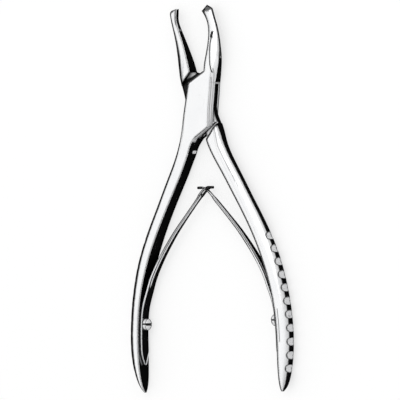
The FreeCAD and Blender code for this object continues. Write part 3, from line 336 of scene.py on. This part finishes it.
    # colour: slight warm and cool drift, with painted shade in the corners and deep places
    ramp = node(nt, "ShaderNodeValToRGB", -350, -150)
    ramp.color_ramp.elements[0].position = 0.3
    ramp.color_ramp.elements[0].color = (tint[0] * 0.955, tint[1] * 0.96, tint[2] * 0.97, 1)
    ramp.color_ramp.elements[1].position = 0.7
    ramp.color_ramp.elements[1].color = (tint[0], tint[1], tint[2], 1)
    nt.links.new(cloud.outputs["Fac"], ramp.inputs["Fac"])
    blast = node(nt, "ShaderNodeMix", -50, -200, data_type="RGBA")
    feed(nt, blast.inputs["Factor"], calc(nt, "MULTIPLY", dull, ramp01(nt, grain.outputs["Fac"], 0.35, 0.65, 0.25, 1.0)))
    nt.links.new(ramp.outputs["Color"], blast.inputs["A"])
    blast.inputs["B"].default_value = (tint[0] * 0.97, tint[1] * 0.97, tint[2] * 0.98, 1)
    recess_shade = calc(nt, "MAXIMUM", recess_shade, calc(nt, "MULTIPLY", dull, 0.97))
    if satin is not None:
        corner = calc(nt, "MULTIPLY", corner, calc(nt, "MULTIPLY_ADD", satin, -0.75, 1.0))
    # painted shade: the corner lines and the deep places darken the base colour
    shade_tone = calc(nt, "MULTIPLY", calc(nt, "MULTIPLY_ADD", corner, -line, 1.0, clamp=True), recess_shade)
    if groove_ring_shade is not None:
        shade_tone = calc(nt, "MULTIPLY", shade_tone, calc(nt, "SUBTRACT", 1.0, groove_ring_shade))
    # painted shade zones darken the base colour and take away metal and specular
    if painted_shade is not None:
        shade_tone = calc(nt, "MULTIPLY", shade_tone, calc(nt, "MULTIPLY_ADD", painted_shade, -0.97, 1.0))
        metal = calc(nt, "MULTIPLY", metal, calc(nt, "SUBTRACT", 1.0, painted_shade))
        nt.links.new(calc(nt, "MULTIPLY_ADD", painted_shade, -0.5, 0.5), sh.inputs["Specular IOR Level"])
    nt.links.new(metal, sh.inputs["Metallic"])
    dark = node(nt, "ShaderNodeMix", 250, -200, data_type="RGBA", blend_type="MULTIPLY")
    dark.inputs["Factor"].default_value = 1.0
    nt.links.new(blast.outputs["Result"], dark.inputs["A"])
    nt.links.new(shade_tone, dark.inputs["B"])
    nt.links.new(dark.outputs["Result"], sh.inputs["Base Color"])

    # bump: belt lines, the slow waviness of hand polishing, scratches, blasting;
    # the shading turns over in the last third of a millimetre of each corner
    bev = node(nt, "ShaderNodeBevel", -100, -600, samples=8)
    bev.inputs["Radius"].default_value = 0.00035
    keep = node(nt, "ShaderNodeMix", 50, -600, data_type="VECTOR")
    nt.links.new(off_pin, keep.inputs["Factor"])
    nt.links.new(geo.outputs["Normal"], keep.inputs["A"])
    nt.links.new(bev.outputs["Normal"], keep.inputs["B"])
    last = keep.outputs["Result"]
    for height, strength, dist, inv in ((lines.outputs["Fac"], brush, 0.00002, False), (cloud.outputs["Fac"], 0.10, 0.00006, False),
                                        (scratch, 0.05, 0.00001, True), (calc(nt, "MULTIPLY", grain.outputs["Fac"], dull), 0.5, 0.00004, False)):
        b = node(nt, "ShaderNodeBump", 300, -400)
        b.inputs["Strength"].default_value = strength
        b.inputs["Distance"].default_value = dist
        b.invert = inv
        nt.links.new(height, b.inputs["Height"])
        nt.links.new(last, b.inputs["Normal"])
        last = b.outputs["Normal"]
    nt.links.new(last, sh.inputs["Normal"])
    return m


# centres of the finger grooves, seen from the front, mm
GROOVES_LEFT = [(-35.36, -62.16), (-37.84, -68.1), (-39.95, -74.18), (-41.59, -80.24), (-42.9, -86.29), (-43.93, -92.45),
                (-44.64, -98.59), (-45.12, -104.84), (-45.24, -111.12), (-44.79, -117.44), (-43.58, -123.59)]
GROOVES_RIGHT = [(35.52, -62.15), (38.0, -68.11), (40.1, -74.18), (41.69, -80.24), (43.05, -86.28), (44.13, -92.45),
                 (44.83, -98.6), (45.25, -104.86), (45.23, -111.14), (44.76, -117.42), (43.8, -123.52)]
ALONG = (2600.0, 120.0, 2600.0)
POLISHED = (0.95, 0.953, 0.957)
MAT = {
    "female_half": steel("polished_steel_female", POLISHED, (0.09, 0.15), 0.10, ALONG, grooves=GROOVES_LEFT, zones=female_zones),
    "male_half": steel("polished_steel_male", POLISHED, (0.09, 0.15), 0.10, ALONG, grooves=GROOVES_RIGHT, zones=male_zones),
    "spring": steel("spring_steel", (0.92, 0.924, 0.93), (0.12, 0.20), 0.14, (2200.0, 150.0, 2200.0), line=0.93, line_radius=0.75, zones=leaf_zones),
    "screw": steel("screw_steel", (0.92, 0.923, 0.928), (0.12, 0.18), 0.08, (1500.0, 1500.0, 1500.0), line=0.95, line_radius=0.6, matt=0.92, zones=screw_zones, rim_shade=0.9),
}
MAT["lock_pin"] = MAT["female_half"]
for name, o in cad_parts.items():
    m = MAT.get(name) or MAT["screw" if "screw" in name else "spring"]
    if o.material_slots:
        for s in o.material_slots:
            s.link = "OBJECT"
            s.material = m
    else:
        o.data.materials.append(m)


# ------------------------------------------------------------------ leaf springs
# Each spring is one strip: clamped and pointed at its lower end, lifting off the
# handle, thinner and narrower towards the crossing, with its end turned level.
# Middle line: distance from the middle plane, distance below the pin, mm.
ROOT = [(37.38, 119.9), (37.437, 117.0), (37.471, 114.0), (37.473, 111.0), (37.433, 108.0), (37.335, 105.0), (37.162, 102.0),
        (36.955, 99.5), (36.693, 97.0), (36.156, 94.0), (35.295, 91.0), (34.2, 88.0)]
FREE = [(33.05, 85.0), (31.95, 82.0), (29.15, 76.3), (25.65, 70.5), (21.85, 65.0), (17.7, 59.5), (13.0, 54.0), (8.1, 48.5),
        (3.7, 43.6), (1.6, 41.35), (0.3, 40.25), (-1.0, 39.55), (-2.3, 39.3)]
EYE_END = [(-3.0, 39.3)]
TONGUE_END = [(-3.6, 39.3), (-4.55, 39.3)]
WIDE_ROOT = [(120.4, 0.25), (119.3, 0.85), (117.0, 1.95), (115.0, 2.6), (113.0, 2.8), (96.0, 2.8), (86.0, 2.65)]
WIDE_EYE = [(80.0, 2.55), (65.0, 2.1), (52.0, 1.6), (46.5, 1.55), (44.2, 1.75), (42.6, 2.3), (36.0, 2.3)]
WIDE_TONGUE = [(80.0, 2.55), (65.0, 2.1), (52.0, 1.6), (46.0, 1.5), (44.4, 1.35), (43.5, 0.9), (36.0, 0.9)]


def cubic(ts, vs):
    """Natural cubic through (t, v), as a function."""
    n = len(ts)
    a, b, c, d = [0.0] * n, [1.0] * n, [0.0] * n, [0.0] * n
    for i in range(1, n - 1):
        h0, h1 = ts[i] - ts[i - 1], ts[i + 1] - ts[i]
        a[i], b[i], c[i] = h0, 2 * (h0 + h1), h1
        d[i] = 6 * ((vs[i + 1] - vs[i]) / h1 - (vs[i] - vs[i - 1]) / h0)
    for i in range(1, n):
        w = a[i] / b[i - 1]
        b[i] -= w * c[i - 1]
        d[i] -= w * d[i - 1]
    m = [0.0] * n
    m[-1] = d[-1] / b[-1]
    for i in range(n - 2, -1, -1):
        m[i] = (d[i] - c[i] * m[i + 1]) / b[i]

    def f(t):
        k = 0
        while k < n - 2 and t > ts[k + 1]:
            k += 1
        h = ts[k + 1] - ts[k]
        u, v = (ts[k + 1] - t) / h, (t - ts[k]) / h
        return u * vs[k] + v * vs[k + 1] + h * h / 6 * ((u ** 3 - u) * m[k] + (v ** 3 - v) * m[k + 1])
    return f


def table_value(rows, y):
    """Straight-line value of a table of (y, value) with falling y."""
    for (y0, v0), (y1, v1) in zip(rows, rows[1:]):
        if y >= y1:
            t = min(1.0, max(0.0, (y0 - y) / (y0 - y1)))
            return v0 + (v1 - v0) * t
    return rows[-1][1]


def baked(obj, modifiers):
    """The object's mesh with those modifiers applied."""
    bpy.context.view_layer.update()
    dg = bpy.context.evaluated_depsgraph_get()
    me = bpy.data.meshes.new_from_object(obj.evaluated_get(dg))
    old = obj.data
    for m in modifiers:
        obj.modifiers.remove(m)
    obj.data = me
    me.name = obj.name
    bpy.data.meshes.remove(old)


def cutter(name, bm):
    me = bpy.data.meshes.new(name)
    bm.to_mesh(me)
    bm.free()
    o = bpy.data.objects.new(name, me)
    bpy.context.scene.collection.objects.link(o)
    return o


def leaf(name, side, eye):
    pts = ROOT + FREE + (EYE_END if eye else TONGUE_END)
    ts = [0.0]
    for a, b in zip(pts, pts[1:]):
        ts.append(ts[-1] + math.hypot(b[0] - a[0], b[1] - a[1]))
    fx, fy = cubic(ts, [p[0] for p in pts]), cubic(ts, [p[1] for p in pts])
    t_flex, t_end = ts[len(ROOT) - 1], ts[-1]
    rows = WIDE_ROOT + (WIDE_EYE if eye else WIDE_TONGUE)
    stations, t = [], 0.0
    while t < t_end - 0.05:
        stations.append(t)
        t += 0.35 if t < 8.0 else (0.75 if fy(t) > 46.0 else 0.3)
    stations += [t_end - 0.30, t_end - 0.16, t_end - 0.06, t_end] if t_end - stations[-1] > 0.4 else [t_end - 0.16, t_end - 0.06, t_end]
    stations = sorted(set(stations))
    bm = bmesh.new()
    rings = []
    for t in stations:
        x, y = fx(t), fy(t)
        dx, dy = fx(min(t + 0.02, t_end)) - fx(max(t - 0.02, 0)), fy(min(t + 0.02, t_end)) - fy(max(t - 0.02, 0))
        L = math.hypot(dx, dy)
        nx, ny = -dy / L, dx / L
        h = 0.6 if t <= t_flex else 0.588 + (0.4 - 0.588) * (t - t_flex) / (t_end - t_flex)
        w = table_value(rows, y)
        near = t_end - t                              # the free end is beaded and rounded over
        q = min(1.0, max(0.0, (3.0 - near) / 1.5)) if not eye else min(1.0, max(0.0, (2.0 - near) / 1.2))
        h += 0.20 * q * q * (3 - 2 * q)
        if near < 0.30:
            q = math.sqrt(max(0.0, 1 - (1 - near / 0.30) ** 2))
            h *= 0.35 + 0.65 * q
            w -= 0.30 * (1 - q)
        r = min(0.33, 0.85 * h, 0.9 * w)
        prof = []
        for (sh_, sw, a0) in ((1, 1, 0), (-1, 1, 90), (-1, -1, 180), (1, -1, 270)):
            for k in range(6):
                a = math.radians(a0 + 18.0 * k)
                prof.append((sh_ * (h - r) + r * math.cos(a), sw * (w - r) + r * math.sin(a)))
            if sw == 1 and sh_ == -1:
                prof.append((-h, w - r - min(0.25, (w - r) * 0.5)))
                prof.append((-h, -(w - r) + min(0.25, (w - r) * 0.5)))
            if sw == -1 and sh_ == 1:
                prof.append((h, -(w - r) + min(0.25, (w - r) * 0.5)))
                prof.append((h, w - r - min(0.25, (w - r) * 0.5)))
        rings.append([bm.verts.new((side * (x + nx * d) * MM, -(y + ny * d) * MM, (ZM + z) * MM)) for d, z in prof])
    n = len(rings[0])
    for r0, r1 in zip(rings, rings[1:]):
        for i in range(n):
            bm.faces.new((r0[i], r0[(i + 1) % n], r1[(i + 1) % n], r1[i]))
    bm.faces.new(rings[0][::-1])
    bm.faces.new(rings[-1])
    bmesh.ops.recalc_face_normals(bm, faces=bm.faces)
    me = bpy.data.meshes.new(name)
    bm.to_mesh(me)
    bm.free()
    o = bpy.data.objects.new(name, me)
    bpy.context.scene.collection.objects.link(o)

    cutters = []
    # hole for the screw's neck, square to the handle's inner face
    sx, sy, nx, ny = side * 37.78, -101.0, -side * 0.9936, 0.113
    bm = bmesh.new()
    axis = Vector((nx, ny, 0)).normalized()
    rot = axis.to_track_quat("Z", "Y").to_matrix().to_4x4()
    bmesh.ops.create_cone(bm, cap_ends=True, segments=48, radius1=1.45 * MM, radius2=1.45 * MM, depth=8 * MM,
                          matrix=Matrix.Translation(Vector((sx, sy, ZM)) * MM) @ rot)
    cutters.append(cutter(name + "_hole", bm))
    if eye:
        bm = bmesh.new()
        bmesh.ops.create_cube(bm, size=1.0, matrix=Matrix.Translation(Vector((-0.6, -40.2, ZM)) * MM) @ Matrix.Diagonal((4.6 * MM, 6.0 * MM, 2.3 * MM, 1)))
        long_edges = [e for e in bm.edges if abs(e.verts[0].co.y - e.verts[1].co.y) > 0.004]
        bmesh.ops.bevel(bm, geom=long_edges, offset=0.35 * MM, segments=4, profile=0.5, affect="EDGES")
        cutters.append(cutter(name + "_window", bm))
    mods = []
    for c in cutters:
        m = o.modifiers.new(c.name, "BOOLEAN")
        m.operation = "DIFFERENCE"
        m.solver = "EXACT"
        m.object = c
        mods.append(m)
    baked(o, mods)
    for c in cutters:
        data = c.data
        bpy.data.objects.remove(c)
        bpy.data.meshes.remove(data)
    me = o.data
    bm = bmesh.new()
    bm.from_mesh(me)
    bmesh.ops.remove_doubles(bm, verts=bm.verts, dist=1e-7)
    for f in bm.faces:
        f.smooth = True
    for e in bm.edges:
        if len(e.link_faces) == 2 and e.calc_face_angle(0.0) > math.radians(33):
            e.smooth = False
    bm.to_mesh(me)
    bm.free()
    me.materials.clear()
    me.materials.append(MAT["spring"])
    return o


left_leaf = leaf("left_leaf_spring", -1, True)
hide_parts("left_spring_root", "left_spring_blade")
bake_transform(left_leaf)
right_leaf = leaf("right_leaf_spring", 1, False)
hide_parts("right_spring_root", "right_spring_blade")
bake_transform(right_leaf)

# ------------------------------------------------------------------ floor
lo, hi = CAD_BOX
bm = bmesh.new()
R = 3.0
n = 48
ring = [bm.verts.new((target.x + R * math.cos(2 * math.pi * i / n), target.y + R * math.sin(2 * math.pi * i / n), lo[2] - 0.00002)) for i in range(n)]
bm.faces.new(ring)
me = bpy.data.meshes.new("floor")
bm.to_mesh(me)
bm.free()
floor = bpy.data.objects.new("floor", me)
bpy.context.scene.collection.objects.link(floor)
fm = bpy.data.materials.new("floor_paper")
fm.use_nodes = True
fb = fm.node_tree.nodes["Principled BSDF"]
fb.inputs["Base Color"].default_value = (0.34, 0.34, 0.34, 1)
fb.inputs["Roughness"].default_value = 0.9
fb.inputs["Specular IOR Level"].default_value = 0.1
fb.inputs["Emission Color"].default_value = (1, 1, 1, 1)
fb.inputs["Emission Strength"].default_value = 0.66
me.materials.append(fm)
floor.visible_glossy = False

# ------------------------------------------------------------------ light
# A white tent overhead, a little dimmer to the right, that ends at the horizon,
# and a touch above it on the left, so that every turned edge is drawn dark.
w = bpy.data.worlds.new("studio")
bpy.context.scene.world = w
w.use_nodes = True
nt = w.node_tree
nt.nodes.clear()
wo = node(nt, "ShaderNodeOutputWorld", 600, 0)
bg = node(nt, "ShaderNodeBackground", 400, 0)
tc = node(nt, "ShaderNodeTexCoord", -900, 0)
sep = node(nt, "ShaderNodeSeparateXYZ", -700, -200)
nt.links.new(tc.outputs["Generated"], sep.inputs["Vector"])
dot = node(nt, "ShaderNodeVectorMath", -700, 100, operation="DOT_PRODUCT")
nt.links.new(tc.outputs["Generated"], dot.inputs[0])
dot.inputs[1].default_value = (-0.5, 0.25, 0.83)
side = ramp01(nt, dot.outputs["Value"], -0.5, 0.9, 0.62, 1.0)
left = calc(nt, "MAXIMUM", calc(nt, "MULTIPLY", sep.outputs["X"], -0.10), 0.0)
height = calc(nt, "SUBTRACT", sep.outputs["Z"], left)
low = ramp01(nt, height, -0.07, 0.13, 0.004, 1.0)
nt.links.new(calc(nt, "MULTIPLY", side, low), bg.inputs["Color"])
bg.inputs["Strength"].default_value = 1.0
nt.links.new(bg.outputs["Background"], wo.inputs["Surface"])


def area(name, loc, size, energy, aim):
    d = bpy.data.lights.new(name, "AREA")
    d.shape = "RECTANGLE"
    d.size, d.size_y = size
    d.energy = energy
    o = bpy.data.objects.new(name, d)
    bpy.context.scene.collection.objects.link(o)
    o.location = loc
    o.rotation_euler = (Vector(aim) - Vector(loc)).to_track_quat("-Z", "Y").to_euler()
    return o


area("key", (0.25, 0.55, 1.1), (0.9, 0.6), 2.0, (0.0, -0.045, 0.0))

bpy.context.scene.view_settings.view_transform = "Standard"

bpy.context.view_layer.update()
